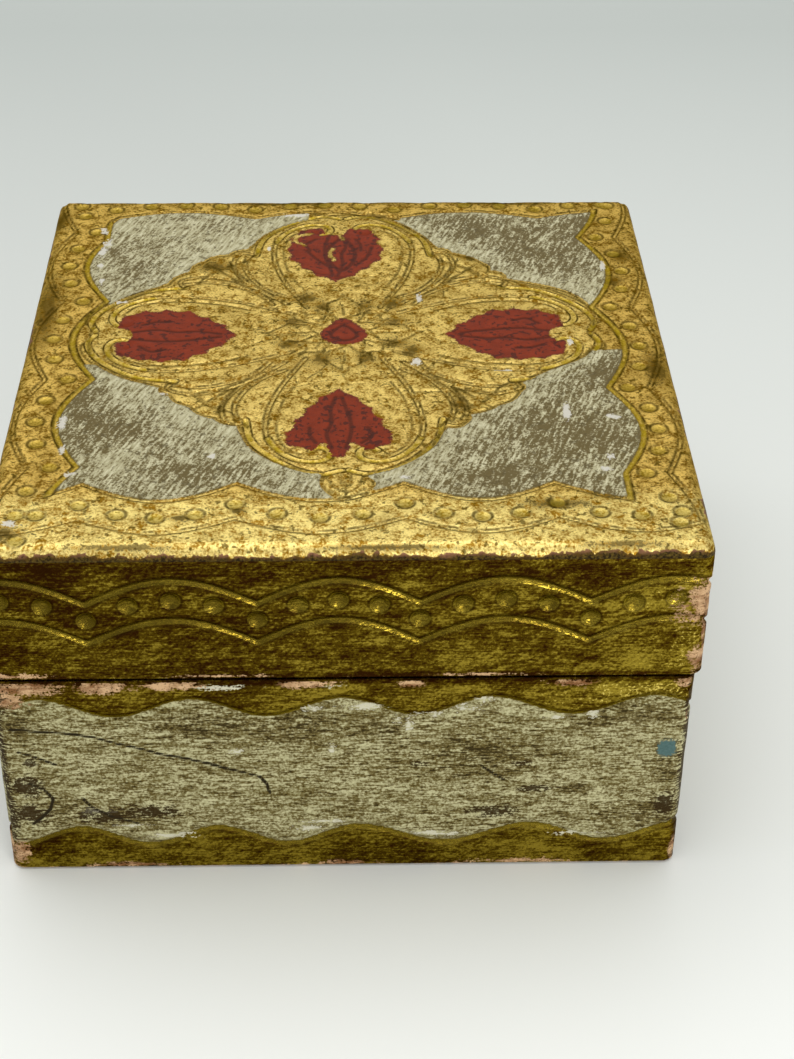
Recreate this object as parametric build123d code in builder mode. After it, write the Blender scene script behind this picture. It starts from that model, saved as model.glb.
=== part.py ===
from build123d import *
import os
from math import radians, sin, tan

# A small gilt wooden trinket box with a hollow hinged lid.
# Millimetres. Origin under the centre of the base, +Z up, +Y towards the hinges.

# Outside of the closed box, over the gilding
box_width = 108.0
box_depth = 113.0
box_height = 64.0
lid_height = 24.4  # from the middle of the seam up
lid_offset = 0.9  # the lid hangs a little to the right of the base
seam_gap = 0.4

# Coat of gesso and gilding over the wood
gesso_thickness = 0.8
corner_radius = 2.6  # upright corners
edge_radius = 1.9  # worn edge around the top
gesso_foot_gap = 0.3  # bare strip under the coat of the base

# Boards
wall_thickness = 7.2
bottom_thickness = 5.5
top_thickness = 6.0

# Back seam: the pin's axis lies just inside the back, and both edges are bevelled away behind it.
# The two bevels meet when the lid has swung to its full opening.
opening_angle = 100.0
hinge_axis_inset = 1.7
bevel_clearance = 0.15

# Butt hinges
hinge_length = 20.0
hinge_end_distance = 24.0  # from the end of the box to the middle of a hinge
leaf_thickness = 0.8
leaf_reach = 5.5  # from the axis to the inner edge of a leaf
barrel_radius = 1.5
middle_knuckle_length = 7.4
knuckle_gap = 0.3
leaf_edge_gap = 0.3  # between a leaf and the other leaf's knuckle
pin_radius = 0.8
pin_running_clearance = 0.05  # radial, in the lid's knuckle
recess_clearance = 0.1  # wood around a leaf
barrel_recess_clearance = 0.4

# Brass hinge nails, two to a leaf
hinge_nail_radius = 0.5
hinge_nail_head_radius = 0.95
hinge_nail_head_depth = 0.45
hinge_nail_length = 5.5
hinge_nail_tip = 1.0
hinge_nail_spacing = 12.0
hinge_nail_reach = 3.7  # from the axis

# Steel panel pins
panel_pin_radius = 0.7
panel_pin_head_radius = 1.2
panel_pin_head_depth = 0.6
panel_pin_tip = 1.6
corner_pin_length = 20.0
corner_pin_inset = 8.0  # from the lower and upper edge of a wall of the base
board_pin_length = 16.0
board_pin_corner_distance = 34.0  # from the corner of the box

# What follows from these sizes
seam_z = box_height - lid_height
base_top = seam_z - seam_gap / 2
lid_bottom = seam_z + seam_gap / 2
wood_width = box_width - 2 * gesso_thickness
wood_depth = box_depth - 2 * gesso_thickness
wood_top = box_height - gesso_thickness
wood_corner_radius = corner_radius - gesso_thickness
wood_edge_radius = edge_radius - gesso_thickness
rails_top = wood_top - top_thickness
axis_y = box_depth / 2 - hinge_axis_inset
bevel_angle = radians(opening_angle / 2)
outer_knuckle_length = (hinge_length - middle_knuckle_length) / 2 - knuckle_gap
wall_centre_x = (wood_width - wall_thickness) / 2
wall_centre_y = (wood_depth - wall_thickness) / 2
hinge_centre_x = box_width / 2 - hinge_end_distance

os.makedirs("parts", exist_ok=True)


def write_piece(piece, name):
    piece.label = name
    export_step(piece, f"parts/{name}.step")


# Fasteners. Each is turned about Z with its head at the origin and its point down.
def panel_pin(length):
    with BuildPart() as pin:
        with BuildSketch(Plane.XZ):
            with BuildLine():
                Polyline(
                    (0, 0),
                    (panel_pin_head_radius, 0),
                    (panel_pin_head_radius, -panel_pin_head_depth),
                    (panel_pin_radius, -panel_pin_head_depth),
                    (panel_pin_radius, panel_pin_tip - length),
                    (0, -length),
                    close=True,
                )
            make_face()
        revolve(axis=Axis.Z)
    return pin.part


with BuildPart() as hinge_nail:
    with BuildSketch(Plane.XZ):
        with BuildLine():
            Polyline(
                (0, 0),
                (hinge_nail_head_radius, 0),
                (hinge_nail_radius, -hinge_nail_head_depth),
                (hinge_nail_radius, hinge_nail_tip - hinge_nail_length),
                (0, -hinge_nail_length),
                close=True,
            )
        make_face()
    revolve(axis=Axis.Z)


# Pins through the front and back walls into the ends of the side walls
def corner_pin_places(centre_x, heights):
    front = [
        Location((centre_x + side * wall_centre_x, -wood_depth / 2, z), (90, 0, 0))
        for side in (-1, 1)
        for z in heights
    ]
    back = [
        Location((centre_x + side * wall_centre_x, wood_depth / 2, z), (-90, 0, 0))
        for side in (-1, 1)
        for z in heights
    ]
    return front + back


base_pin_heights = (bottom_thickness + corner_pin_inset, base_top - corner_pin_inset)
with BuildPart() as base_corner_pins:
    with Locations(*corner_pin_places(0, base_pin_heights)):
        add(panel_pin(corner_pin_length))

with BuildPart() as lid_corner_pins:
    with Locations(*corner_pin_places(lid_offset, ((lid_bottom + rails_top) / 2,))):
        add(panel_pin(corner_pin_length))


# Pins through the bottom and the top board into the middle of each wall
def board_pin_places(centre_x, z, turn):
    front_and_back = (box_width / 2 - board_pin_corner_distance, wall_centre_y)
    left_and_right = (wall_centre_x, box_depth / 2 - board_pin_corner_distance)
    return [
        Location((centre_x + side_x * x, side_y * y, z), (turn, 0, 0))
        for x, y in (front_and_back, left_and_right)
        for side_x in (-1, 1)
        for side_y in (-1, 1)
    ]


with BuildPart() as bottom_board_pins:
    with Locations(*board_pin_places(0, 0, 180)):
        add(panel_pin(board_pin_length))

with BuildPart() as top_board_pins:
    with Locations(*board_pin_places(lid_offset, wood_top, 0)):
        add(panel_pin(board_pin_length))


# Nails through the hinge leaves: down into the base, up into the lid
def hinge_nail_places(z, turn):
    nail_y = axis_y - hinge_nail_reach
    return [
        Location((side * hinge_centre_x + end * hinge_nail_spacing / 2, nail_y, z), (turn, 0, 0))
        for side in (-1, 1)
        for end in (-1, 1)
    ]


with BuildPart() as base_hinge_nails:
    with Locations(*hinge_nail_places(base_top, 0)):
        add(hinge_nail.part)

with BuildPart() as lid_hinge_nails:
    with Locations(*hinge_nail_places(lid_bottom, 180)):
        add(hinge_nail.part)

# What is cut from the back seam. The groove is a V that opens to the back, its sides just clear of the axis.
groove_tip_y = axis_y - bevel_clearance / sin(bevel_angle)
groove_end_y = box_depth / 2 + hinge_axis_inset
groove_half_height = (groove_end_y - groove_tip_y) * tan(bevel_angle)
groove_half_length = box_width / 2 + abs(lid_offset) + gesso_thickness
with BuildPart() as back_groove:
    with BuildSketch(Plane.YZ):
        with BuildLine():
            Polyline(
                (groove_tip_y, seam_z),
                (groove_end_y, seam_z - groove_half_height),
                (groove_end_y, seam_z + groove_half_height),
                close=True,
            )
        make_face()
    extrude(amount=groove_half_length, both=True)

# Recesses for the leaves and the barrels, the same above and below the seam
recess_length = hinge_length + 2 * recess_clearance
recess_reach = leaf_reach + recess_clearance
with BuildPart() as hinge_recesses:
    for hinge_x in (-hinge_centre_x, hinge_centre_x):
        with Locations((hinge_x, axis_y - recess_reach / 2, seam_z)):
            Box(recess_length, recess_reach, seam_gap + 2 * leaf_thickness)
        with BuildSketch(Plane.YZ.offset(hinge_x)):
            with Locations((axis_y, seam_z)):
                Circle(barrel_radius + barrel_recess_clearance)
        extrude(amount=recess_length / 2, both=True)


# Boards of the four walls
def cross_board(side, low, high, centre_x):
    """Board across the whole front (side -1) or back (side 1), its two outer corners rounded."""
    with BuildPart() as board:
        with BuildSketch(Plane.XY.offset(low)):
            with Locations((centre_x, side * wall_centre_y)):
                Rectangle(wood_width, wall_thickness)
        extrude(amount=high - low)
        outer_face_first = board.edges().filter_by(Axis.Z).sort_by(Axis.Y, reverse=side > 0)
        fillet(outer_face_first[:2], wood_corner_radius)
    return board.part


def side_board(side, low, high, centre_x):
    """Board at the left (side -1) or right (side 1), held between the front and the back board."""
    with BuildPart() as board:
        with BuildSketch(Plane.XY.offset(low)):
            with Locations((centre_x + side * wall_centre_x, 0)):
                Rectangle(wall_thickness, wood_depth - 2 * wall_thickness)
        extrude(amount=high - low)
    return board.part


# Base: a bottom board with four walls standing on it
with BuildPart() as base_bottom_board:
    with BuildSketch():
        RectangleRounded(wood_width, wood_depth, wood_corner_radius)
    extrude(amount=bottom_thickness)
    add(bottom_board_pins.part, mode=Mode.SUBTRACT)
write_piece(base_bottom_board.part, "base_bottom_board")

with BuildPart() as base_front_board:
    add(cross_board(-1, bottom_thickness, base_top, 0))
    add([base_corner_pins.part, bottom_board_pins.part], mode=Mode.SUBTRACT)
write_piece(base_front_board.part, "base_front_board")

with BuildPart() as base_back_board:
    add(cross_board(1, bottom_thickness, base_top, 0))
    add([back_groove.part, hinge_recesses.part, base_hinge_nails.part], mode=Mode.SUBTRACT)
    add([base_corner_pins.part, bottom_board_pins.part], mode=Mode.SUBTRACT)
write_piece(base_back_board.part, "base_back_board")

for side, side_name in ((-1, "left"), (1, "right")):
    with BuildPart() as base_side_board:
        add(side_board(side, bottom_thickness, base_top, 0))
        add([base_corner_pins.part, bottom_board_pins.part], mode=Mode.SUBTRACT)
    write_piece(base_side_board.part, f"base_{side_name}_board")

# Lid: four rails under a top board
with BuildPart() as lid_top_board:
    with BuildSketch(Plane.XY.offset(rails_top)):
        with Locations((lid_offset, 0)):
            RectangleRounded(wood_width, wood_depth, wood_corner_radius)
    extrude(amount=top_thickness)
    fillet(lid_top_board.faces().sort_by(Axis.Z)[-1].edges(), wood_edge_radius)
    add(top_board_pins.part, mode=Mode.SUBTRACT)
write_piece(lid_top_board.part, "lid_top_board")

with BuildPart() as lid_front_rail:
    add(cross_board(-1, lid_bottom, rails_top, lid_offset))
    add([lid_corner_pins.part, top_board_pins.part], mode=Mode.SUBTRACT)
write_piece(lid_front_rail.part, "lid_front_rail")

with BuildPart() as lid_back_rail:
    add(cross_board(1, lid_bottom, rails_top, lid_offset))
    add([back_groove.part, hinge_recesses.part, lid_hinge_nails.part], mode=Mode.SUBTRACT)
    add([lid_corner_pins.part, top_board_pins.part], mode=Mode.SUBTRACT)
write_piece(lid_back_rail.part, "lid_back_rail")

for side, side_name in ((-1, "left"), (1, "right")):
    with BuildPart() as lid_side_rail:
        add(side_board(side, lid_bottom, rails_top, lid_offset))
        add([lid_corner_pins.part, top_board_pins.part], mode=Mode.SUBTRACT)
    write_piece(lid_side_rail.part, f"lid_{side_name}_rail")

write_piece(base_corner_pins.part, "base_corner_pins")
write_piece(lid_corner_pins.part, "lid_corner_pins")
write_piece(bottom_board_pins.part, "bottom_board_pins")
write_piece(top_board_pins.part, "top_board_pins")

# Gesso and gilding: one coat around the walls of the base, one over the lid
with BuildPart() as base_gilt_gesso:
    with BuildSketch(Plane.XY.offset(gesso_foot_gap)):
        RectangleRounded(box_width, box_depth, corner_radius)
        RectangleRounded(wood_width, wood_depth, wood_corner_radius, mode=Mode.SUBTRACT)
    extrude(amount=base_top - gesso_foot_gap)
    add([back_groove.part, hinge_recesses.part], mode=Mode.SUBTRACT)
write_piece(base_gilt_gesso.part, "base_gilt_gesso")

with BuildPart() as lid_wood:
    with BuildSketch(Plane.XY.offset(lid_bottom)):
        with Locations((lid_offset, 0)):
            RectangleRounded(wood_width, wood_depth, wood_corner_radius)
    extrude(amount=wood_top - lid_bottom)
    fillet(lid_wood.faces().sort_by(Axis.Z)[-1].edges(), wood_edge_radius)

with BuildPart() as lid_gilt_gesso:
    with BuildSketch(Plane.XY.offset(lid_bottom)):
        with Locations((lid_offset, 0)):
            RectangleRounded(box_width, box_depth, corner_radius)
    extrude(amount=box_height - lid_bottom)
    fillet(lid_gilt_gesso.faces().sort_by(Axis.Z)[-1].edges(), edge_radius)
    add([lid_wood.part, back_groove.part, hinge_recesses.part], mode=Mode.SUBTRACT)
write_piece(lid_gilt_gesso.part, "lid_gilt_gesso")


# Hinges
def hinge_leaf(hinge_x, leaf_low, knuckles, bore_radius, nails):
    """A flat leaf let into the wood, with its knuckles, each (start, length) along the barrel."""
    plate_depth = leaf_reach - barrel_radius - leaf_edge_gap
    with BuildPart() as leaf:
        with BuildSketch(Plane.XY.offset(leaf_low)):
            with Locations((hinge_x, axis_y - leaf_reach + plate_depth / 2)):
                Rectangle(hinge_length, plate_depth)
            for start, length in knuckles:
                with Locations((hinge_x + start + length / 2, axis_y - leaf_reach / 2)):
                    Rectangle(length, leaf_reach)
        extrude(amount=leaf_thickness)
        for start, length in knuckles:
            with BuildSketch(Plane.YZ.offset(hinge_x + start)):
                with Locations((axis_y, seam_z)):
                    Circle(barrel_radius)
            extrude(amount=length)
        with BuildSketch(Plane.YZ.offset(hinge_x)):
            with Locations((axis_y, seam_z)):
                Circle(bore_radius)
        extrude(amount=hinge_length, both=True, mode=Mode.SUBTRACT)
        add(nails, mode=Mode.SUBTRACT)
    return leaf.part


outer_knuckles = (
    (-hinge_length / 2, outer_knuckle_length),
    (hinge_length / 2 - outer_knuckle_length, outer_knuckle_length),
)
middle_knuckle = ((-middle_knuckle_length / 2, middle_knuckle_length),)
for side, side_name in ((-1, "left"), (1, "right")):
    hinge_x = side * hinge_centre_x
    base_leaf = hinge_leaf(
        hinge_x, base_top - leaf_thickness, outer_knuckles, pin_radius, base_hinge_nails.part
    )
    write_piece(base_leaf, f"{side_name}_hinge_base_leaf")

    lid_bore_radius = pin_radius + pin_running_clearance
    lid_leaf = hinge_leaf(hinge_x, lid_bottom, middle_knuckle, lid_bore_radius, lid_hinge_nails.part)
    write_piece(lid_leaf, f"{side_name}_hinge_lid_leaf")

    with BuildPart() as hinge_pin:
        with BuildSketch(Plane.YZ.offset(hinge_x)):
            with Locations((axis_y, seam_z)):
                Circle(pin_radius)
        extrude(amount=hinge_length / 2, both=True)
    write_piece(hinge_pin.part, f"{side_name}_hinge_pin")

write_piece(base_hinge_nails.part, "base_hinge_nails")
write_piece(lid_hinge_nails.part, "lid_hinge_nails")
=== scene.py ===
import math

import bmesh
import bpy
import numpy as np
from mathutils import Matrix, Vector


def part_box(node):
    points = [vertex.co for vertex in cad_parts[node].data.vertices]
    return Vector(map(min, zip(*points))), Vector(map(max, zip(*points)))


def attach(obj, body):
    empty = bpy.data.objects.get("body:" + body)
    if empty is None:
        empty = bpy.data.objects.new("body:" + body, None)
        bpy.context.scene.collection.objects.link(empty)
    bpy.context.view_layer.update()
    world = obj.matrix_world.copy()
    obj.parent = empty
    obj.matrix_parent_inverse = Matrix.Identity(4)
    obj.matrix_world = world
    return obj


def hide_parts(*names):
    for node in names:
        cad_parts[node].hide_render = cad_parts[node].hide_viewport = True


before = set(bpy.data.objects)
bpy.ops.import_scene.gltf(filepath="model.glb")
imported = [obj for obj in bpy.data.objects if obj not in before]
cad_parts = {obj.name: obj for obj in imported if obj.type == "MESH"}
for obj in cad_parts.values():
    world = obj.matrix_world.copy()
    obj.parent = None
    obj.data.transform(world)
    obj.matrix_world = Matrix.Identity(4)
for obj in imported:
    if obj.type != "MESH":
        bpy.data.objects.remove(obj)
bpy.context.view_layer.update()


# The boards. Nine pieces of limewood, planed, glued and pinned into a tray and a hollow lid.
# The wood is bare inside, a little stained by handling, and its grain runs along each board.
def hue(code):
    """The linear colour of an sRGB hex code."""
    parts = [int(code[i : i + 2], 16) / 255 for i in (1, 3, 5)]
    return [v / 12.92 if v <= 0.04045 else ((v + 0.055) / 1.055) ** 2.4 for v in parts] + [1.0]


def blank(name):
    """A new finish with no nodes yet."""
    finish = bpy.data.materials.new(name)
    finish.use_nodes = True
    finish.node_tree.nodes.clear()
    return finish


def node(finish, kind, out=0, ins=(), **given):
    """Adds one node and gives one output.

    ins fills its first inputs, which for a range are the value, its span and its new span. Of
    the other words, one with a Capital is an input and the rest are settings.
    """
    made = finish.node_tree.nodes.new("ShaderNode" + kind)
    inputs = dict(enumerate(ins))
    for name, value in given.items():
        if name[0].islower():
            setattr(made, name, value)
        else:
            inputs[name.replace("_", " ")] = value
    for name, value in inputs.items():
        if isinstance(value, bpy.types.NodeSocket):
            finish.node_tree.links.new(value, made.inputs[name])
        else:
            made.inputs[name].default_value = value
    return made.outputs[out] if made.outputs else made


def limewood(name, grain):
    """Planed limewood: pale and even, fine pores, faint figure along the grain; dull to the touch."""
    wood = blank(name)
    place = node(wood, "TexCoord", "Object")
    along = node(wood, "Mapping", Vector=place, Scale=grain)
    figure = node(
        wood, "TexNoise", Vector=along, Scale=330, Detail=5, Roughness=0.6, Distortion=0.5
    )
    pores = node(wood, "TexNoise", Vector=along, Scale=2600, Detail=2)
    stain = node(wood, "TexNoise", Vector=place, Scale=45, Detail=3)
    tone = node(wood, "MixRGB", ins=(figure, hue("#A57A50"), hue("#CBA67C")))
    pored = node(wood, "MapRange", ins=(pores, 0.56, 0.72, 0, 0.45))
    tone = node(wood, "MixRGB", ins=(pored, tone, hue("#84603F")))
    aged = node(wood, "MapRange", ins=(stain, 0.45, 0.75, 0, 0.5))
    tone = node(wood, "MixRGB", ins=(aged, tone, hue("#8F6B48")))
    gloss = node(wood, "MapRange", ins=(figure, 0, 1, 0.72, 0.56))
    ridge = node(wood, "Bump", Strength=0.35, Distance=0.0002, Height=pores)
    skin = node(wood, "BsdfPrincipled", Base_Color=tone, Roughness=gloss, Normal=ridge, IOR=1.5)
    node(wood, "OutputMaterial", Surface=skin)
    return wood


def dress(names, finish):
    """Gives CAD nodes a finish."""
    for name in names:
        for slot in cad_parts[name].material_slots:
            slot.material = finish


limewood_across = limewood("limewood_grain_across", (0.07, 1, 1))
limewood_deep = limewood("limewood_grain_deep", (1, 0.07, 1))
dress(["base_front_board", "base_back_board", "lid_front_rail", "lid_back_rail"], limewood_across)
dress(["base_bottom_board", "lid_top_board"], limewood_across)
dress(["base_left_board", "base_right_board", "lid_left_rail", "lid_right_rail"], limewood_deep)


# The panel pins. Thin wire nails of bright steel, driven flush and then covered by the gesso,
# so they have dulled to grey with a bloom of rust.
steel = blank("dulled_steel_wire")
steel_place = node(steel, "TexCoord", "Object")
steel_bloom = node(steel, "TexNoise", Vector=steel_place, Scale=900, Detail=5, Roughness=0.65)
steel_rust = node(steel, "MapRange", ins=(steel_bloom, 0.5, 0.68))
steel_tone = node(steel, "MixRGB", ins=(steel_rust, hue("#9A9894"), hue("#6B4630")))
steel_gloss = node(steel, "MapRange", ins=(steel_rust, 0, 1, 0.35, 0.75))
steel_skin = node(
    steel, "BsdfPrincipled", Base_Color=steel_tone, Metallic=0.9, Roughness=steel_gloss
)
node(steel, "OutputMaterial", Surface=steel_skin)
dress(["base_corner_pins", "lid_corner_pins", "bottom_board_pins", "top_board_pins"], steel)
dress(["left_hinge_pin", "right_hinge_pin"], steel)


# The hinges. Two small brass butts let into the back edge, stamped from sheet and rolled round
# a steel pin, each leaf held by two brass nails. The brass has gone brown in its corners.
brass = blank("aged_rolled_brass")
brass_place = node(brass, "TexCoord", "Object")
brass_cloud = node(brass, "TexNoise", Vector=brass_place, Scale=420, Detail=6, Roughness=0.6)
brass_rolled = node(brass, "Mapping", Vector=brass_place, Scale=(1, 9, 9))
brass_lines = node(brass, "TexNoise", Vector=brass_rolled, Scale=900, Detail=2)
brass_brown = node(brass, "MapRange", ins=(brass_cloud, 0.46, 0.66))
brass_tone = node(brass, "MixRGB", ins=(brass_brown, hue("#C29A4C"), hue("#74562A")))
brass_gloss = node(brass, "MapRange", ins=(brass_cloud, 0, 1, 0.28, 0.62))
brass_ridge = node(brass, "Bump", Strength=0.2, Distance=0.0001, Height=brass_lines)
brass_skin = node(
    brass,
    "BsdfPrincipled",
    Base_Color=brass_tone,
    Metallic=0.92,
    Roughness=brass_gloss,
    Normal=brass_ridge,
)
node(brass, "OutputMaterial", Surface=brass_skin)
dress(["left_hinge_base_leaf", "left_hinge_lid_leaf"], brass)
dress(["right_hinge_base_leaf", "right_hinge_lid_leaf"], brass)
dress(["base_hinge_nails", "lid_hinge_nails"], brass)


# The base's gesso and gilding. Several coats of chalk gesso brushed over the boards, waves
# pressed in with a tool, then leaf gold on the top and bottom bands and cream paint between.
base_low, base_high = (1000 * np.array(corner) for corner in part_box("base_gilt_gesso"))
rounding = 2.2
wall = 0.75
hill = 0.12
columns = (286, 299)

# a point is on a face when it is this near; distances to a tool's path are worked out as far
# as the tool's marks reach, and what has no such path lies far off
at_face = 0.01
tool_reach = 3.0
far_off = 9.0


def rounded(places, low, high, depth):
    """Rounds the corners of a box of points and gives the way out at each."""
    core = np.clip(places, low + rounding, high - rounding)
    out = places - core
    out /= np.maximum(np.linalg.norm(out, axis=1, keepdims=True), 1e-9)
    return core + out * (rounding - depth[:, None]), out


def depth_under(places, low, high):
    """How deep each place lies under the nearest of the four side faces."""
    flat = places[:, :2]
    return np.minimum(flat - low[:2], high[:2] - flat).min(axis=1)


def uneven(places):
    """Slow hills of hand-laid gesso, 0 to 1."""
    hills = np.zeros(len(places))
    waves = ((31, 0.4), (19, 1.3), (13, 2.2), (8.5, 2.9), (6.1, 0.9))
    for turn, (length, lean) in enumerate(waves):
        way = np.array([math.cos(lean), math.sin(lean), math.cos(3 * lean)])
        hills += np.sin(places @ way * 2 * math.pi / length + 1.7 * turn)
    return 0.5 + 0.1 * hills


def around(places, low, high):
    """How far along the box's edge a point of its side is, from the front left corner, in mm."""
    x, y = places[:, 0] - low[0], places[:, 1] - low[1]
    width, depth = high[0] - low[0], high[1] - low[1]
    right, back = x > width - 1e-3, y > depth - 1e-3
    front = y < 1e-3
    return np.select(
        [front, right, back], [x, width + y, 2 * width + depth - x], 2 * (width + depth) - y
    )


def rolled_wall(low, high, rows):
    """A grid rolled round the box and welded. rows holds the height and depth of each turn."""
    sheet = bmesh.new()
    bmesh.ops.create_grid(sheet, x_segments=2 * sum(columns), y_segments=len(rows), size=1)
    flat = np.array([v.co for v in sheet.verts])
    column = np.rint((flat[:, 0] + 1) * sum(columns))
    row = np.rint((flat[:, 1] + 1) / 2 * len(rows)).astype(int) % len(rows)
    heights, depths = np.array(rows).T
    bends = np.cumsum((0,) + columns * 2)
    inset = depths[row]
    x = np.interp(column, bends, (low[0], high[0], high[0], low[0], low[0]))
    y = np.interp(column, bends, (low[1], low[1], high[1], high[1], low[1]))
    middle = (low + high) / 2
    x = middle[0] + (x - middle[0]) * (1 - inset / (high[0] - middle[0]))
    y = middle[1] + (y - middle[1]) * (1 - inset / (high[1] - middle[1]))
    for vert, spot in zip(sheet.verts, np.stack([x, y, heights[row]], axis=1)):
        vert.co = spot
    bmesh.ops.remove_doubles(sheet, verts=sheet.verts, dist=1e-3)
    bmesh.ops.recalc_face_normals(sheet, faces=sheet.faces)
    return sheet


def swell(along, crests, middle, swing):
    """Height of a rolling wave whose crests are given one by one."""
    return middle + swing * np.cos(2 * math.pi * np.interp(along, crests, np.arange(len(crests))))


def patches(u, v, spots):
    """Listed blots, each with its place, width and height: 1 in the middle, 0 at the rim."""
    best = np.full(len(u), -1.0)
    for at_u, at_v, wide, tall in spots:
        best = np.maximum(best, 1 - np.hypot((u - at_u) / wide, (v - at_v) / tall))
    return best


def reach(places, line, limit=tool_reach):
    """Distance of each place to a line, up to a limit, in mm."""
    far = np.full(len(places), limit)
    line = np.asarray(line, float)
    for start in range(0, len(line) - 1, 12):
        run = line[start : start + 13]
        near = (places > run.min(axis=0) - limit) & (places < run.max(axis=0) + limit)
        near = np.flatnonzero(near.all(axis=1))
        step = np.diff(run, axis=0)
        away = places[near][:, None] - run[:-1]
        t = np.clip((away * step).sum(axis=2) / np.maximum((step**2).sum(axis=1), 1e-9), 0, 1)
        gap = np.linalg.norm(away - t[..., None] * step, axis=2).min(axis=1)
        far[near] = np.minimum(far[near], gap)
    return far


def settle(sheet, places, name, marks, outer):
    """Puts the moved points back, in metres, and makes the object with its marks."""
    for vert, spot in zip(sheet.verts, places * 0.001):
        vert.co = spot
    mesh = bpy.data.meshes.new(name)
    sheet.to_mesh(mesh)
    sheet.free()
    for mark, values in marks.items():
        mesh.attributes.new(mark, "FLOAT", "POINT").data.foreach_set("value", values)
    corners = np.zeros(len(mesh.loops), int)
    starts = np.zeros(len(mesh.polygons), int)
    mesh.loops.foreach_get("vertex_index", corners)
    mesh.polygons.foreach_get("loop_start", starts)
    mesh.polygons.foreach_set("use_smooth", np.minimum.reduceat(outer[corners], starts))
    made = bpy.data.objects.new(name, mesh)
    bpy.context.scene.collection.objects.link(made)
    return made


seam, seam_gap = 39.6, 0.2
bevel_height, bevel_slope = 2.26, 1.1875


def hinge_bevel(y):
    """Half the height of the V along the back, which lets the lid swing open."""
    return np.maximum(seam_gap, bevel_height - bevel_slope * (base_high[1] - y))


dimple_radius, dimple_wall, ring_radius = 1.5, 0.78, 1.75
lip_height, lip_gap, lip_breadth, ring_breadth = 0.05, 0.2, 0.22, 0.25
rubbed_off = 0.06


def pressed(groove, bead, breadth, cut, punch):
    """Depth in the gesso: V grooves and flat-bottomed round dimples with raised lips."""
    cut = cut * np.clip(1 - groove / breadth, 0, 1)
    lip = lip_height * np.exp(-(((groove - breadth - lip_gap) / lip_breadth) ** 2))
    dimple = punch * np.clip((dimple_radius - bead) / dimple_wall, 0, 1)
    ring = lip_height * np.exp(-(((bead - ring_radius) / ring_breadth) ** 2))
    return np.maximum(cut - lip, dimple - ring) + rubbed_off


# each turn of the coat's grid by its height and depth: under the foot, up the face, over the
# rim and back down the inside
base_rows = [(base_low[2], wall), (base_low[2], 0.35), (base_low[2] + 0.15, 0.1)]
base_rows += [(z, 0) for z in np.linspace(base_low[2] + 0.5, base_high[2] - 0.4, 76)]
base_rows += [(base_high[2] - 0.12, 0.08), (base_high[2], 0.3), (base_high[2], wall), (20, wall)]
base_sheet = rolled_wall(base_low[:2], base_high[:2], base_rows)
base_sharp = np.array([v.co for v in base_sheet.verts])
base_depth = depth_under(base_sharp, base_low, base_high)
base_along = around(base_sharp, base_low, base_high) + base_low[0]
base_flat, base_out = rounded(base_sharp[:, :2], base_low[:2], base_high[:2], base_depth)
lowered = base_high[2] - (seam - hinge_bevel(base_flat[:, 1]))
base_z = base_sharp[:, 2] - lowered * (base_sharp[:, 2] - 1) / (base_high[2] - 1)

# the crests are given one by one on the front and run on round the box with one pitch; a wave's
# edge slants, so the gap across it is a little less than the gap upward
base_pitch, slant = 23.9, 0.93
upper_crests = (-69.5, -46.8, -23.5, -0.2, 22.8, 48, *(72.1 + base_pitch * np.arange(15)))
lower_crests = (-65, -41.8, -20.2, 2.3, 29.8, *(54 + base_pitch * np.arange(16)))
upper_wave = swell(base_along, upper_crests, middle=33.65, swing=1.75)
lower_wave = swell(base_along, lower_crests, middle=7.2, swing=1.8)
base_cream = np.minimum(upper_wave - base_z, base_z - lower_wave) * slant
base_groove = np.minimum(np.abs(upper_wave - base_z), np.abs(base_z - lower_wave)) * slant
base_crack = np.minimum.reduce([
    reach(np.column_stack([base_along, base_z]), line)
    for line in (
        [(-51.5, 29.9), (-46, 29.3), (-42, 28.9), (-38.6, 28.2), (-35.5, 27), (-31, 25.6),
         (-28.6, 24.6), (-24.6, 23.7), (-21.2, 22.6), (-18.4, 21.5), (-15.4, 20.5), (-13.2, 19.7),
         (-12.2, 18.2), (-11.8, 16.2)],
        [(-50.6, 25.2), (-48.8, 24.6), (-46.9, 23.6), (-45, 22.6)],
        [(-49.4, 18.6), (-47.3, 17.4), (-46, 15.4), (-46.6, 13.2), (-48.2, 11.3), (-49.6, 10)],
        [(-41.4, 15.4), (-39.9, 13.4), (-37, 11.4), (-33, 10)],
        [(21.6, 21.6), (23.4, 20), (25.2, 18.6)],
    )
])
base_bare = patches(base_along, base_z, [
    (-49, 37.9, 7, 1.7), (-37, 38.1, 6, 1.4), (-26, 38.4, 6, 1.1), (-52, 35.6, 4, 2.4),
    (-5.5, 38.5, 5.5, 1.0), (10.2, 38.5, 2.6, 1.0), (35, 38.4, 4.2, 1.0), (52.6, 38.2, 2, 1.3),
    (-52.5, 3.5, 2.6, 3.4), (54.2, 3.4, 1.6, 3), (53.8, 31, 0.7, 2),
    (66, 38.6, 7, 1.1), (92, 38.5, 9, 1.2), (131, 38.7, 6, 1), (166.8, 36, 1.8, 5),
    (166.8, 9, 2.4, 8), (167, 24, 1.2, 9), (78, 0.8, 6, 1.3), (140, 0.8, 9, 1.2), (196, 1, 7, 1.4),
    (240, 1, 8, 1.2), (275, 8, 2, 8), (275, 30, 1.6, 8), (301, 38.5, 8, 1.2), (339, 38.6, 9, 1),
    (372, 38.4, 7, 1.3), (310, 0.8, 7, 1.2), (350, 0.8, 8, 1.2), (387, 4, 2, 5),
    (-35, 0.7, 8, 0.9), (28, 0.7, 9, 0.9), (1, 0.7, 6, 0.8),
])
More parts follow.
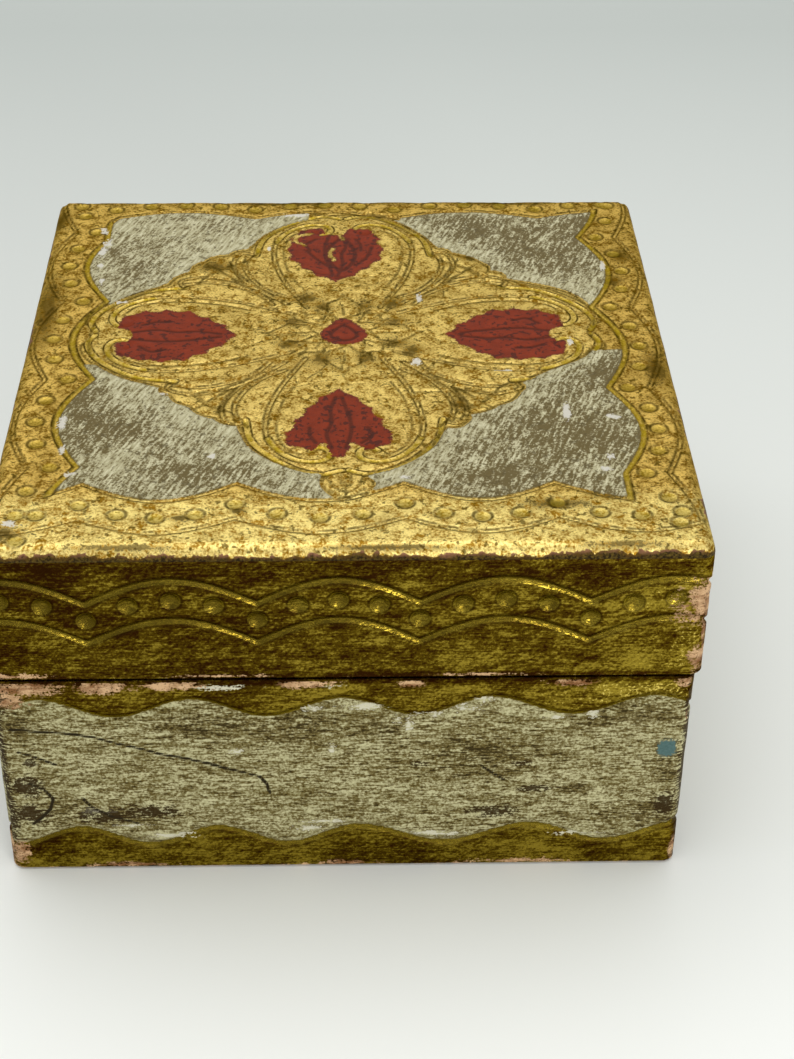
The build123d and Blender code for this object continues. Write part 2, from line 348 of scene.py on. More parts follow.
base_chalk = patches(base_along, base_z, [
    (3.2, 33.9, 4.2, 0.9), (-5.2, 33.6, 2.4, 0.8), (12.5, 32.2, 4.6, 0.7), (19.2, 33.6, 3, 0.8),
    (21.5, 35, 2.5, 0.6), (38.6, 32, 1.5, 0.7), (32.6, 31.6, 3, 0.5), (-1.8, 25.3, 0.8, 1.8),
    (-17, 25, 2.2, 0.9), (8.3, 31.2, 0.9, 0.9), (10, 30, 1, 1.8), (-39, 12.6, 3.4, 1.1),
    (-28, 7.2, 6, 0.9), (-34, 9.4, 4, 0.8), (14, 7.2, 6, 0.7), (-3, 10, 5, 0.6), (-6, 8.5, 4, 0.9),
    (37, 6.9, 5, 0.6), (-20, 38, 8, 0.8), (-3, 38.2, 4.5, 0.9), (84, 33.5, 4, 0.8),
    (116, 33, 3, 0.8), (150, 8, 4, 0.8), (97, 9, 4, 0.7), (215, 33.7, 4, 0.9), (262, 8.2, 4, 0.8),
    (318, 33.4, 4, 0.8), (352, 8.4, 5, 0.8),
])
base_worn = patches(base_along, base_z, [
    (-21, 30.2, 10, 4.5), (-7, 30, 8, 4), (6, 29.6, 6, 3), (44, 32, 8, 3), (51.5, 20.5, 2.6, 3.4),
    (-44, 12, 5, 4), (-33, 11.5, 8, 2.6), (49, 11.5, 8, 4), (36, 16.7, 4, 0.9), (22, 24, 12, 5),
    (-50, 31, 4, 4), (-53, 20, 2.2, 12), (97, 24, 20, 7), (128, 15, 14, 5), (160, 28, 8, 6),
    (205, 22, 20, 8), (252, 28, 14, 6), (296, 18, 14, 7), (345, 26, 20, 6), (376, 14, 10, 6),
])
teal_across, teal_up = np.abs((base_along - 50.6) / 1.65), np.abs((base_z - 24.9) / 1.95)
base_teal = 1 - (teal_across**4 + teal_up**4) ** 0.25
base_soot = patches(base_along, base_z, [
    (-54.6, 20, 3, 19), (-55, 34, 4, 6), (-53, 11, 2.4, 6), (54.8, 22, 2.4, 22), (54.4, 34, 1.4, 5),
    (-49, 23, 1.4, 1.2), (-50, 18, 3, 3), (-38, 11.6, 6, 2), (-31, 12.4, 6, 2), (51.4, 13, 2.4, 4),
    (167, 21, 1.4, 19), (276, 20, 1.8, 18), (385, 22, 3, 18), (-50, 12, 5, 3), (24, 12, 5, 1.6),
    (30, 16.7, 4, 0.8), (12, 22, 2, 1), (28, 22, 3, 0.8),
])
# painted light on the base's gold: a painted highlight towards the right of the upper band, and a
# painted shade along the top rim at the seam
base_painted_light = 0.55 + 0.3 * np.clip((base_along - 15) / 35, 0, 1) * (base_z > 20) * np.clip(
    (75 - base_along) / 20, 0, 1
)
base_painted_light -= 1.2 * np.clip(base_z - 38.3, 0, 1)
base_outer = base_depth < at_face
no_bead = np.full(len(base_z), far_off)
base_press = pressed(base_groove, no_bead, breadth=0.7, cut=0.5, punch=0)
base_press += hill * uneven(np.column_stack([base_flat, base_z]))
base_flat -= base_out * np.where(base_outer, base_press, 0)[:, None]
base_marks = {
    "cream": base_cream,
    "groove": base_groove,
    "bead": no_bead,
    "crack": base_crack,
    "bare": base_bare,
    "chalk": base_chalk,
    "worn": base_worn,
    "teal": base_teal,
    "soot": base_soot,
    "painted_light": base_painted_light,
}
base_places = np.column_stack([base_flat, base_z])
base_gilding = settle(base_sheet, base_places, "base_gilding", base_marks, base_outer)


# Water gilding rubbed dark by hands, its leaf gold set darker than the top's as a painted shade of
# the
# upright faces: a brown, combed look of long thin streaks, cream tempera that has flaked along the
# brush marks, chalk gesso and wood where both are gone.
side = blank("side_water_gilding_and_tempera")
place = node(side, "TexCoord", "Object")
combed = node(side, "Mapping", Vector=place, Scale=(0.17, 0.17, 1))
nicked = node(
    side, "Mapping", Vector=place, vector_type="TEXTURE", Rotation=(0, -0.75, 0), Scale=(6, 1, 1)
)
streak = node(side, "TexNoise", Vector=combed, Scale=3700, Detail=4, Roughness=0.7)
band = node(side, "TexNoise", Vector=combed, Scale=900, Detail=4, Roughness=0.65)
grain = node(side, "TexNoise", Vector=place, Scale=2400, Detail=3, Roughness=0.6)
blot = node(side, "TexNoise", Vector=place, Scale=420, Detail=5, Roughness=0.7)
cloud = node(side, "TexNoise", Vector=place, Scale=110, Detail=4, Roughness=0.6)
nick = node(side, "TexNoise", Vector=nicked, Scale=1900, Detail=2)
torn = node(side, "Math", ins=(blot, grain), operation="ADD")
ragged = node(side, "MapRange", ins=(torn, 0, 2, -1.1, 1.1))
marks = {mark: node(side, "Attribute", "Fac", attribute_name=mark) for mark in base_marks}

# leaf gold: dark streaks, then mid, then bright, raised or lowered by the painted light, then painted
# glints; the tools leave the beads and grooves clean, with a painted shade round them
painted_lift = node(side, "MapRange", ins=(marks["painted_light"], 0, 1, -0.075, 0.055))
clouded = node(side, "MapRange", ins=(cloud, 0.3, 0.7, -0.05, 0.05))
mottle_and_painted_sheen = 0
for part, share in (
    (streak, 0.35), (band, 0.25), (grain, 0.25), (nick, 0.15), (painted_lift, 1), (clouded, 1)
):
    mottle_and_painted_sheen = node(side, "Math", ins=(part, share, mottle_and_painted_sheen), operation="MULTIPLY_ADD")
low = node(side, "MapRange", ins=(mottle_and_painted_sheen, 0.4, 0.5))
high = node(side, "MapRange", ins=(mottle_and_painted_sheen, 0.49, 0.57))
painted_glint = node(side, "Math", ins=(grain, mottle_and_painted_sheen), operation="ADD")
painted_glint = node(side, "Math", ins=(painted_glint, marks["painted_light"]), operation="ADD")
painted_glint = node(side, "MapRange", ins=(painted_glint, 1.92, 2.06, 0, 0.85))
in_bead = node(side, "MapRange", ins=(marks["bead"], 1.65, 1.4, 0, 0.55))
in_groove = node(side, "MapRange", ins=(marks["groove"], 0.7, 0.5, 0, 0.65))
# the dark rims round the beads and beside the grooves are painted shade of the tool marks
painted_rim_shade = {}
for mark, inner, outer, most in (
    ("bead", (1.45, 1.6), (2.0, 1.7), 0.6),
    ("groove", (0.6, 0.75), (1.2, 0.85), 0.5),
):
    rise = node(side, "MapRange", ins=(marks[mark], *inner))
    fall = node(side, "MapRange", ins=(marks[mark], *outer, 0, most))
    painted_rim_shade[mark] = node(side, "Math", ins=(rise, fall), operation="MULTIPLY")
# these gold tones are partly rubbed patina and partly painted shade of the upright faces
gold = node(side, "MixRGB", ins=(blot, hue("#241203"), hue("#331C08")))
for cover, tone in (
    (low, "#57450C"),
    (high, "#94802C"),
    (painted_glint, "#E8CF6A"),
    (in_bead, "#6E5E1C"),
    (painted_rim_shade["bead"], "#241705"),
    (in_groove, "#6A5A1A"),
    (painted_rim_shade["groove"], "#2A1B06"),
):
    gold = node(side, "MixRGB", ins=(cover, gold, hue(tone)))

# cream tempera with the flecks along its brush marks
cream = 0
for part, share in ((band, 1), (grain, 1), (nick, 0.6)):
    cream = node(side, "Math", ins=(part, share, cream), operation="MULTIPLY_ADD")
cream = node(side, "MapRange", ins=(cream, 1.1, 1.5))
cream = node(side, "MixRGB", ins=(cream, hue("#B9B48B"), hue("#847D55")))
wearing = node(side, "MapRange", ins=(marks["worn"], -0.3, 0.8, -0.006, 0.046))
fleck = 0
for part, share in ((streak, 0.55), (band, 0.11), (blot, 0.08), (grain, 0.26), (wearing, 1)):
    fleck = node(side, "Math", ins=(part, share, fleck), operation="MULTIPLY_ADD")
brown = node(side, "MapRange", ins=(fleck, 0.455, 0.525, 0, 0.9))
dark = node(side, "MapRange", ins=(fleck, 0.545, 0.58, 0, 0.9))
cream = node(side, "MixRGB", ins=(brown, cream, hue("#58491C")))
cream = node(side, "MixRGB", ins=(dark, cream, hue("#241B08")))
is_cream = node(side, "Math", ins=(ragged, 0.35, marks["cream"]), operation="MULTIPLY_ADD")
is_cream = node(side, "MapRange", ins=(is_cream, -0.04, 0.1))
colour = node(side, "MixRGB", ins=(is_cream, gold, cream))

# white chalk and bare wood where both are gone, soot on the corners, a teal dab and the cracks;
# each row says how ragged and how combed its rim is, where it starts and is full, and how dense
wood = node(side, "Math", ins=(blot, band), operation="ADD")
wood = node(side, "MapRange", ins=(wood, 0.85, 1.15))
wood = node(side, "MixRGB", ins=(wood, hue("#7A5232"), hue("#C6A27A")))
pores = node(side, "MapRange", ins=(grain, 0.56, 0.64, 0, 0.7))
wood = node(side, "MixRGB", ins=(pores, wood, hue("#4A3418")))
teal = node(side, "MixRGB", ins=(grain, hue("#36504F"), hue("#56716F")))
covers = {}
for mark, ragging, combing, start, full, dense, tone in (
    ("chalk", 1.8, 3, 2.0, 2.16, 0.9, hue("#CAC6AE")),
    ("bare", 1.8, 1.5, 0.98, 1.12, 1, wood),
    ("soot", 1.6, 3, 1.78, 1.9, 0.9, hue("#2A1C08")),
    ("teal", 0.8, 0, -0.05, 0.05, 0.6, hue("#3A3F32")),
    ("teal", 0.8, 0, 0.12, 0.22, 1, teal),
    ("crack", 0.22, 0, 0.34, 0.2, 1, hue("#1E170A")),
):
    rim = node(side, "Math", ins=(ragged, ragging, marks[mark]), operation="MULTIPLY_ADD")
    rim = node(side, "Math", ins=(streak, combing, rim), operation="MULTIPLY_ADD")
    covers[mark] = node(side, "MapRange", ins=(rim, start, full, 0, dense))
    colour = node(side, "MixRGB", ins=(covers[mark], colour, tone))

# the tools burnish what they press, and what isn't leaf gold is dull
burnished = node(side, "MapRange", ins=(marks["groove"], 0.75, 0.65))
punched = node(side, "MapRange", ins=(marks["bead"], 1.65, 1.45))
burnished = node(side, "Math", ins=(burnished, punched), operation="MAXIMUM")
covered = is_cream
for mark in ("bare", "chalk", "crack", "soot"):
    covered = node(side, "Math", ins=(covered, covers[mark]), operation="MAXIMUM")
metal = node(side, "MapRange", ins=(covered, 0, 1, 1, 0))
gloss = node(side, "MapRange", ins=(grain, 0.35, 0.65, 0.46, 0.24))
for cover, rough in ((burnished, 0.25), (covered, 0.66)):
    gloss = node(side, "MixRGB", ins=(cover, gloss, (rough, rough, rough, 1)))
tooth = node(side, "Math", ins=(streak, grain), operation="ADD")
calm = node(side, "MapRange", ins=(burnished, 0, 1, 1, 0.2))
tooth = node(side, "Math", ins=(tooth, calm), operation="MULTIPLY")
tooth = node(side, "Math", ins=(brown, -0.5, tooth), operation="MULTIPLY_ADD")
ridge = node(side, "Bump", Strength=0.6, Distance=0.00012, Height=tooth)
skin = node(
    side,
    "BsdfPrincipled",
    Base_Color=colour,
    Metallic=metal,
    Roughness=gloss,
    Normal=ridge,
    Specular_IOR_Level=0.3,
    Specular_Tint=hue("#A08A50"),
)
node(side, "OutputMaterial", Surface=skin)
base_gilding.data.materials.append(side)
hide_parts("base_gilt_gesso")
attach(base_gilding, "base")


# The lid's sides. The same gesso over the rails, with a double wave and a row of round punch
# marks between, gilded all over and rubbed back to the bole along the edges.
def crest_line(along, cusps, low, high):
    """Height of a row of arches that meet at given cusps."""
    phase = np.interp(along, cusps, np.arange(len(cusps)))
    return low + (high - low) * np.abs(np.sin(math.pi * phase))


lid_low, lid_high = (1000 * np.array(corner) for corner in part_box("lid_gilt_gesso"))
shoulder = lid_high[2] - rounding
lid_rows = [(shoulder, wall), *[(z, 0) for z in np.linspace(shoulder, lid_low[2] + 0.5, 70)]]
lid_rows += [(lid_low[2] + 0.15, 0.08), (lid_low[2], 0.3), (lid_low[2], wall), (50, wall)]
lid_sheet = rolled_wall(lid_low[:2], lid_high[:2], lid_rows)
lid_sharp = np.array([v.co for v in lid_sheet.verts])
lid_depth = depth_under(lid_sharp, lid_low, lid_high)
lid_along = around(lid_sharp, lid_low, lid_high) + lid_low[0]
lid_flat, lid_out = rounded(lid_sharp[:, :2], lid_low[:2], lid_high[:2], lid_depth)
raised = seam + hinge_bevel(lid_flat[:, 1]) - lid_low[2]
lid_z = lid_sharp[:, 2] + raised * (shoulder - lid_sharp[:, 2]) / (shoulder - lid_low[2])
lid_pitch = 24.4
lid_cusps = (-63.2, -38.1, -12.7, 11.5, 36.9, *(62 + lid_pitch * np.arange(15)))
high_wave = crest_line(lid_along, lid_cusps, low=54, high=58.2)
low_wave = crest_line(lid_along, lid_cusps, low=46.7, high=50.9)
lid_groove = np.minimum(np.abs(high_wave - lid_z), np.abs(low_wave - lid_z))
lid_bead = np.full(len(lid_z), far_off)
bead_step, arching = 0.25, 0.8
bead_low, bead_rise = 51, 3.6
for phase in np.arange(0.5, 18.6, bead_step):
    bead_at = np.interp(phase, np.arange(len(lid_cusps)), lid_cusps)
    bead_z = bead_low + bead_rise * abs(math.sin(math.pi * phase)) ** arching
    lid_bead = np.minimum(lid_bead, np.hypot(lid_along - bead_at, lid_z - bead_z))
lid_bare = patches(lid_along, lid_z, [
    (55.5, 53.5, 7, 5), (55.3, 43.3, 4.2, 3.2), (55, 48, 1.4, 4), (-53.2, 60, 1.6, 5),
    (-50, 40.2, 7, 0.9), (-18, 40, 9, 0.6), (20, 40, 12, 0.5), (167.8, 57, 3.4, 5),
    (168, 44, 2.2, 5), (84, 40.4, 10, 0.9), (131, 40.3, 8, 0.8), (276, 58, 2.2, 5),
    (276, 46, 2, 5), (300, 40.3, 9, 0.8), (352, 40.4, 12, 0.9), (388.9, 50, 1.4, 9),
])
lid_soot = patches(lid_along, lid_z, [
    (-53.4, 50, 1.8, 12), (167, 50, 1.2, 10), (276, 50, 1.6, 11), (386, 50, 2, 11),
])
# painted light on the lid's gold: a painted highlight near the right end and a painted shade along
# the seam at the foot; besides, darker to the left and darker along the top band, more so to the left
lid_painted_light = 0.31 + 0.07 * np.clip(lid_along / 20, -1, 1)
lid_painted_light += 0.42 * np.clip((lid_along - 28) / 24, 0, 1) * np.clip((68 - lid_along) / 13, 0, 1)
lid_painted_light -= np.clip(41 - lid_z, 0, 1)
lid_painted_light -= 0.55 * np.clip((lid_z - 57) / 3, 0, 1) * np.clip((44 - lid_along) / 12, 0.4, 1)
lid_outer = lid_depth < at_face
lid_press = pressed(lid_groove, lid_bead, breadth=0.7, cut=0.5, punch=0.53)
lid_press += hill * uneven(np.column_stack([lid_flat, lid_z]))
lid_flat -= lid_out * np.where(lid_outer, lid_press, 0)[:, None]
lid_marks = {
    "cream": np.full(len(lid_z), -far_off),
    "groove": lid_groove,
    "bead": lid_bead,
    "crack": np.full(len(lid_z), far_off),
    "bare": lid_bare,
    **{mark: np.full(len(lid_z), -1.0) for mark in ("chalk", "worn", "teal")},
    "soot": lid_soot,
    "painted_light": lid_painted_light,
}
lid_places = np.column_stack([lid_flat, lid_z])
lid_gilded_sides = settle(lid_sheet, lid_places, "lid_gilded_sides", lid_marks, lid_outer)
lid_gilded_sides.data.materials.append(side)
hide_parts("lid_gilt_gesso")
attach(lid_gilded_sides, "lid")


# The lid's top. One field of gesso with the ornament pressed in by hand tools: a diamond of four
# palmettes round a rosette inside a beaded wave border. Gold leaf, four painted corners, red leaves.
def flowing(points, closed=False):
    """A smooth line through a few points, as a tool is drawn."""
    p = np.asarray(points, float)
    ends = (p[-1:], p[:2]) if closed else ([2 * p[0] - p[1]], [2 * p[-1] - p[-2]])
    p = np.vstack([ends[0], p, ends[1]])
    a, b, c, d = p[:-3, None], p[1:-2, None], p[2:-1, None], p[3:, None]
    t = np.linspace(0, 1, 8, endpoint=False)[:, None]
    line = b + (c - a) * t / 2 + (2 * a - 5 * b + 4 * c - d) * t**2 / 2
    line += (3 * b - a - 3 * c + d) * t**3 / 2
    return np.vstack([line.reshape(-1, 2), p[-2:-1]])


def within(places, outline):
    """Which places lie inside a closed outline."""
    x, y = places.T
    odd = np.zeros(len(places), bool)
    for (x0, y0), (x1, y1) in zip(outline[:-1], outline[1:]):
        if y0 != y1:
            odd ^= ((y0 > y) != (y1 > y)) & (x < (x1 - x0) * (y - y0) / (y1 - y0) + x0)
    return odd


def inland(places, outline, limit=tool_reach):
    """Distance to a closed outline, positive inside it."""
    outline = np.vstack([outline, outline[:1]])
    return np.where(within(places, outline), 1, -1) * reach(places, outline, limit)


top = bmesh.new()
half = (lid_high - lid_low)[:2] / 2
bmesh.ops.create_grid(top, x_segments=columns[0], y_segments=columns[1], size=1)
bmesh.ops.scale(top, vec=(*half, 1), verts=top.verts)
bmesh.ops.translate(top, vec=(0, 0, lid_high[2]), verts=top.verts)
edge = [e for e in top.edges if e.is_boundary]
skirt_steps = 6
steep, shallow = 0.813, 0.337
turns = [(0, -rounding / skirt_steps)] * skirt_steps
turns += [(wall, 0), (0, 0.3), (shallow, steep), (steep, shallow)]
for inward, rise in turns:
    grown = bmesh.ops.extrude_edge_only(top, edges=edge)["geom"]
    ring = [g for g in grown if isinstance(g, bmesh.types.BMVert)]
    edge = [g for g in grown if isinstance(g, bmesh.types.BMEdge) and g.is_boundary]
    size = max(v.co.x for v in ring), max(v.co.y for v in ring)
    bmesh.ops.scale(top, vec=(1 - inward / size[0], 1 - inward / size[1], 1), verts=ring)
    bmesh.ops.translate(top, vec=(0, 0, rise), verts=ring)
bmesh.ops.contextual_create(top, geom=edge)
bmesh.ops.recalc_face_normals(top, faces=top.faces)
bmesh.ops.translate(top, vec=(*(lid_low + lid_high)[:2] / 2, 0), verts=top.verts)
top_sharp = np.array([v.co for v in top.verts])
top_depth = depth_under(top_sharp, lid_low, lid_high)
on_top = top_sharp[:, 2] > lid_high[2] - 1e-3
top_outer = on_top | (top_depth < at_face)
top_inner_xy, _ = rounded(top_sharp[:, :2], lid_low[:2], lid_high[:2], top_depth)
no_floor = np.array([*lid_low[:2], -999.0])
top_places, top_out = rounded(top_sharp, no_floor, lid_high, np.zeros(len(top_sharp)))
top_inner = np.column_stack([top_inner_xy, top_sharp[:, 2]])
top_places = np.where(top_outer[:, None], top_places, top_inner)

# the border's waves, side by side; near two of the corners its inner edge runs straight
spot = top_places[:, :2]
x, y = spot.T
left_cusps = (68.9, 43.05, 17.2, -8.7, -34.5, -60.3)[::-1]
right_cusps = (66.2, 40.6, 14.7, -12, -37, -63)[::-1]
front_cusps = (-63.5, -39.3, -16, 9.4, 32.3, 57)
back_cusps = (-68, -42, -16, 10, 36.5, 62)
border_slant = 0.92
inner_edges = (
    np.maximum(
        x - crest_line(y, left_cusps, -40.6, -45.2), np.where(y > 38, x + 42.6, -far_off)
    ),
    np.where(y < -37, 43.4, crest_line(y, right_cusps, 43.4, 47.6)) - x,
    y - crest_line(x, front_cusps, -39.2, -43.8),
    crest_line(x, back_cusps, 48.6, 51.2) - y,
)
outer_edges = (
    x - crest_line(y, left_cusps, -48.4, -52),
    crest_line(y, right_cusps, 50.2, 53.4) - x,
    y - crest_line(x, front_cusps, -48.3, -52),
    crest_line(x, back_cusps, 54.3, 56) - y,
)
field = np.minimum.reduce(inner_edges) * border_slant
turn_x, turn_y, turn_radius = -36.5, 44.7, 6.2
turned_corner = turn_radius - np.hypot(x - turn_x, y - turn_y)
field = np.where((x < turn_x) & (y > turn_y), np.minimum(field, turned_corner), field)
outer_field = np.minimum.reduce(outer_edges) * border_slant
bead = np.full(len(spot), far_off)
lid_shift, bead_limit_x, bead_limit_y = 0.9, 52, 54.5
for cusps, base, swing, flip, sign in (
    (left_cusps, 44.75, 3.7, True, -1),
    (right_cusps, 46.7, 3.4, True, 1),
    (front_cusps, 44.7, 3.5, False, -1),
    (back_cusps, 52.0, 1.9, False, 1),
):
    for phase in np.arange(0, 5.1, bead_step):
        at = np.interp(phase, np.arange(len(cusps)), cusps)
        out_by = sign * (base + swing * abs(math.sin(math.pi * phase)) ** arching)
        where = (out_by, at) if flip else (at, out_by)
        if abs(where[0] - lid_shift) < bead_limit_x and abs(where[1]) < bead_limit_y:
            bead = np.minimum(bead, np.hypot(x - where[0], y - where[1]))

# the diamond: four arms, four leaves between them, a rosette and a drop
middle = np.array([0.4, 6.2])
arms = (((1, 0), (0, 1)), ((0, 1), (-1, 0)), ((-1, 0), (0, -1)), ((0, -1), (1, 0)))
strays = ((-1.1, -0.8), (-1.4, -0.6), (0.2, -0.9), (-0.9, 0.2))


def on_arm(points, arm, mirror=1):
    """Points given outward and sideways, laid on one of the four arms."""
    p = np.asarray(points, float)
    return middle + p[:, :1] * arm[0] + mirror * p[:, 1:] * arm[1]


def scalloped(points, bulge):
    """Arcs from point to point, swollen to the right hand."""
    p = np.asarray(points, float)
    t = np.linspace(0, 1, 8, endpoint=False)[:, None]
    step = np.diff(p, axis=0)
    side = np.column_stack([step[:, 1], -step[:, 0]]) / np.linalg.norm(step, axis=1)[:, None]
    arcs = p[:-1, None] + step[:, None] * t + side[:, None] * bulge * np.sin(math.pi * t)
    return np.vstack([arcs.reshape(-1, 2), p[-1:]])


def lobed(outline, pitch, depth):
    """A closed outline with small lobes along it, as a brush leaves."""
    step = np.diff(outline, axis=0, append=outline[:1])
    length = np.linalg.norm(step, axis=1)
    run = np.cumsum(length) - length
    side = np.column_stack([step[:, 1], -step[:, 0]]) / np.maximum(length, 1e-6)[:, None]
    lobes = max(round(length.sum() / pitch), 1)
    swing = np.abs(np.sin(math.pi * lobes * run / length.sum()))
    return outline + side * (depth * (swing - 0.6))[:, None]


diamond = np.vstack([
    flowing([(42.3, 4.6), (43.3, 9), (43.2, 13.8), (40.6, 18.9), (35.7, 22.2), (29, 24.6)]),
    scalloped([(29, 25.9), (26.1, 27.4), (25.3, 30.6), (19.8, 34.4), (17.3, 36.3)], 0.6),
    flowing([(16.2, 38.6), (14.3, 42), (9.8, 47), (5, 49.4), (0.5, 49.9), (-4, 49), (-9.3, 45.9),
             (-13.9, 41.3), (-16, 37.4)]),
    scalloped([(-16.6, 35.9), (-20.2, 33.8), (-24.3, 31.6), (-26.6, 27.6), (-30.2, 23.2)], 0.7),
    flowing([(-33, 21.5), (-38.1, 17.6), (-41.2, 13), (-42.4, 7.6), (-42.3, 1.6), (-40.6, -3.4),
             (-36, -7.8), (-31, -10.4)]),
    scalloped([(-29.3, -11.2), (-27.7, -13.7), (-24.3, -17), (-20.2, -20.6), (-16.4, -22.6)], 0.7),
    flowing([(-15.8, -24.6), (-14.3, -28.7), (-10.6, -32.9), (-5.6, -35.6), (-2.9, -36.4),
             (-3, -39.6), (-1.3, -42.6), (0.9, -43.6), (3.4, -42.3), (4.7, -39.4), (3.6, -36.9),
             (8.2, -34.5), (13.4, -29.9), (15.7, -24.8)]),
    scalloped([(16.6, -23.5), (19.6, -22.4), (19.6, -19.6), (25.2, -17), (28.9, -13),
               (29, -10.3)], 0.7),
    flowing([(33.8, -6.4), (39.8, -2.4), (42.6, 1.6)]),
])
heart_half = ((18.6, 0), (20.6, 3.2), (23.5, 5.8), (26.5, 7.9), (30, 8.5), (33.5, 8.2),
              (36.5, 7.3), (38.6, 5), (38.3, 2.6), (36.6, 1.2), (35.8, 0))
front_half = ((18.8, 0), (22, 3.5), (26, 5.8), (30, 7.5), (34, 8.6), (36.3, 5.5), (35.6, 3.2),
              (35, 1.8), (38.3, 1.3), (38.3, 0))
drop = flowing([(0, 5), (-2.4, 2.6), (-4, -0.6), (-2.9, -3.2), (0, -4.2), (2.9, -3.2), (4, -0.6),
                (2.4, 2.6)], closed=True)
red = inland(spot, middle + drop)
gold_lines = []
dark_lines = []
engraved = [middle + (0, -0.4) + drop * 0.55, diamond]
for arm, stray in zip(arms, strays):
    half_leaf = front_half if arm == arms[3] else heart_half
    whole = [*half_leaf, *[(u, -v) for u, v in half_leaf[-2:0:-1]]]
    heart = lobed(flowing(whole, closed=True)[:-1], 3.9, 0.75)
    red = np.maximum(red, inland(spot, on_arm(heart, arm) + stray))
    for mirror in (1, -1):
        arch = flowing([(8.5, 6.3), (13, 8.4), (18.5, 10.6), (25, 12.2), (31, 12.4), (35.5, 10.9),
                        (38.7, 8), (39.6, 4.8), (38.6, 2.6), (36.6, 2.4), (35.6, 4), (36.5, 5.2)])
        rim = flowing(
            [(27.5, 15.7), (33.5, 14.6), (38.2, 11.4), (41.6, 7.4), (43, 3.5), (42, 0.6)]
        )
        inner = flowing(
            [(16, 7.6), (21, 9.6), (26.5, 10.6), (31.5, 10.6), (35.5, 9.2), (37.4, 6.8)]
        )
        dark_lines += [on_arm(arch[:36], arm, mirror)]
        (dark_lines if arm[0] == 0 else gold_lines).extend(
            [on_arm(arch[35:], arm, mirror), on_arm(rim, arm, mirror)]
        )
        outer = rim[4:-4] * (1.025, 1.0) + (0, 1.1)
        engraved.append(on_arm(outer, arm, mirror))
        vein = flowing([(36, 1.1), (32, 1.9), (28.6, 1.5 + 0.4 * mirror), (25, 1.3), (21, 0.5)])
        lower_vein = flowing([(34.5, 3.6), (32.4, 4.9 + 0.4 * mirror), (30, 4.6)])
        engraved.append(on_arm(inner, arm, mirror))
        engraved += [on_arm(line, arm, mirror) + stray for line in (vein, lower_vein)]
for sx, sy in ((1, 1), (1, -1), (-1, 1), (-1, -1)):
    leaf = flowing([(9.8, 9.8), (14.8, 14.8), (19, 17.9), (23.2, 19.6), (26.8, 19.25),
                    (28.75, 17.9), (28.2, 16.25)])
    flank = flowing([(9.6, 12.2), (13.2, 14.6), (16.1, 18.7), (17.6, 23.5), (17, 27.7)])
    hem = flowing([(15.2, 29.4), (17.6, 25.6), (21.4, 23.4), (23.4, 20.4)])
    for line in (leaf, flank):
        dark_lines += [middle + line * (sx, sy), middle + line[:, ::-1] * (sx, sy)]
    engraved += [middle + hem * (sx, sy), middle + hem[:, ::-1] * (sx, sy)]
    for tip in ((20.4, 25.6), (23.6, 23.9), (25.7, 20.2), (21.8, 21.8)):
        bend = (0.6 * tip[0] + 7, 0.6 * tip[1] + 6.6)
        engraved.append(middle + np.array([(17.6, 17.6), bend, tip]) * (sx, sy))

# the back leaf has gold scrolls left in its red and a dark drop with a gold crescent
scrolls = [
    flowing([(-5.4, 42.2), (-7.9, 41.1), (-8.25, 39.1), (-6.6, 37.75)]),
    flowing([(-1.8, 43.9), (-2.2, 42.3), (-3.6, 41.9)]),
    flowing([(7.4, 41.8), (8.3, 40), (6.9, 38.9), (7.8, 37)]),
    flowing([(-1.5, 36.5), (-2, 34.5), (-1.3, 32)]),
    flowing([(0.1, 44.5), (-0.3, 42), (0.4, 40)]),
]
scroll_breadth = 0.32
for scroll in scrolls:
    red = np.minimum(red, reach(spot, scroll) - scroll_breadth)
inner_drop = flowing([(0.3, 40.5), (-1.9, 37.4), (-2.9, 33.8), (-1.7, 30.4), (0.2, 28), (2, 30.8),
                      (2.6, 34.4), (1.7, 38)], closed=True)
engraved += [inner_drop, inner_drop * (0.94, 0.98) + (0, 0.7)]
engraved.append(flowing([(-6.2, 35.6), (-4.4, 32.4), (-2.2, 29.6)]))
engraved.append(flowing([(5.6, 37), (4.6, 33), (2.6, 30)]))

# the small palmette at the front tip
for line in (
    [(-2.4, -37), (-1.4, -39.8), (0.6, -41.6), (2.4, -40.2), (3.2, -37.6)],
    [(-0.2, -37), (0, -40)],
    [(1.4, -37), (1.2, -40)],
    [(-1.9, -41), (0.7, -43), (3.4, -40.6)],
    [(0.6, -38.6), (0.6, -42.4)],
):
    engraved.append(flowing(line))

# how far every place is from a broad line, a bright line and a fine one; the fine ones take in
# the rosette's petals and some stray scratches
ornament = np.full(len(spot), tool_reach)
yellow = np.full(len(spot), tool_reach)
fine = np.full(len(spot), tool_reach)
for line in dark_lines:
    ornament = np.minimum(ornament, reach(spot, line))
for line in gold_lines:
    yellow = np.minimum(yellow, reach(spot, line))
for turn in range(8):
    lean = turn * math.pi / 4
    length, breadth = ((13.5, 3.0), (10.5, 2.2))[turn % 2]
    one_side = [(6.4, breadth * 0.8), (8.6, breadth), (length - 3, breadth * 0.75),
                (length - 1.6, breadth * 0.2)]
    other_side = [(u, -v) for u, v in one_side[::-1]]
    petal = flowing([(4.6, 0.6), *one_side, (length, 0), *other_side], closed=True)
    spin = np.array([[math.cos(lean), math.sin(lean)], [-math.sin(lean), math.cos(lean)]])
    engraved.append(middle + lobed(petal[:-1], 3.1, 0.5) @ spin)
    engraved.append(middle + np.array([(6, 0), (length - 4, 0.2)]) @ spin)
for line in engraved:
    fine = np.minimum(fine, reach(spot, line))
chance = np.random.default_rng(11)
stray_scratches = 46
for _ in range(stray_scratches):
    start = middle + chance.uniform(-20, 20, 2)
    turn = chance.uniform(0, math.pi)
    end = start + chance.uniform(3, 12) * np.array([math.cos(turn), math.sin(turn)])
    bow = (start + end) / 2 + chance.uniform(-0.4, 0.4, 2)
    fine = np.minimum(fine, reach(spot, np.array([start, bow, end])) + chance.uniform(0.08, 0.22))

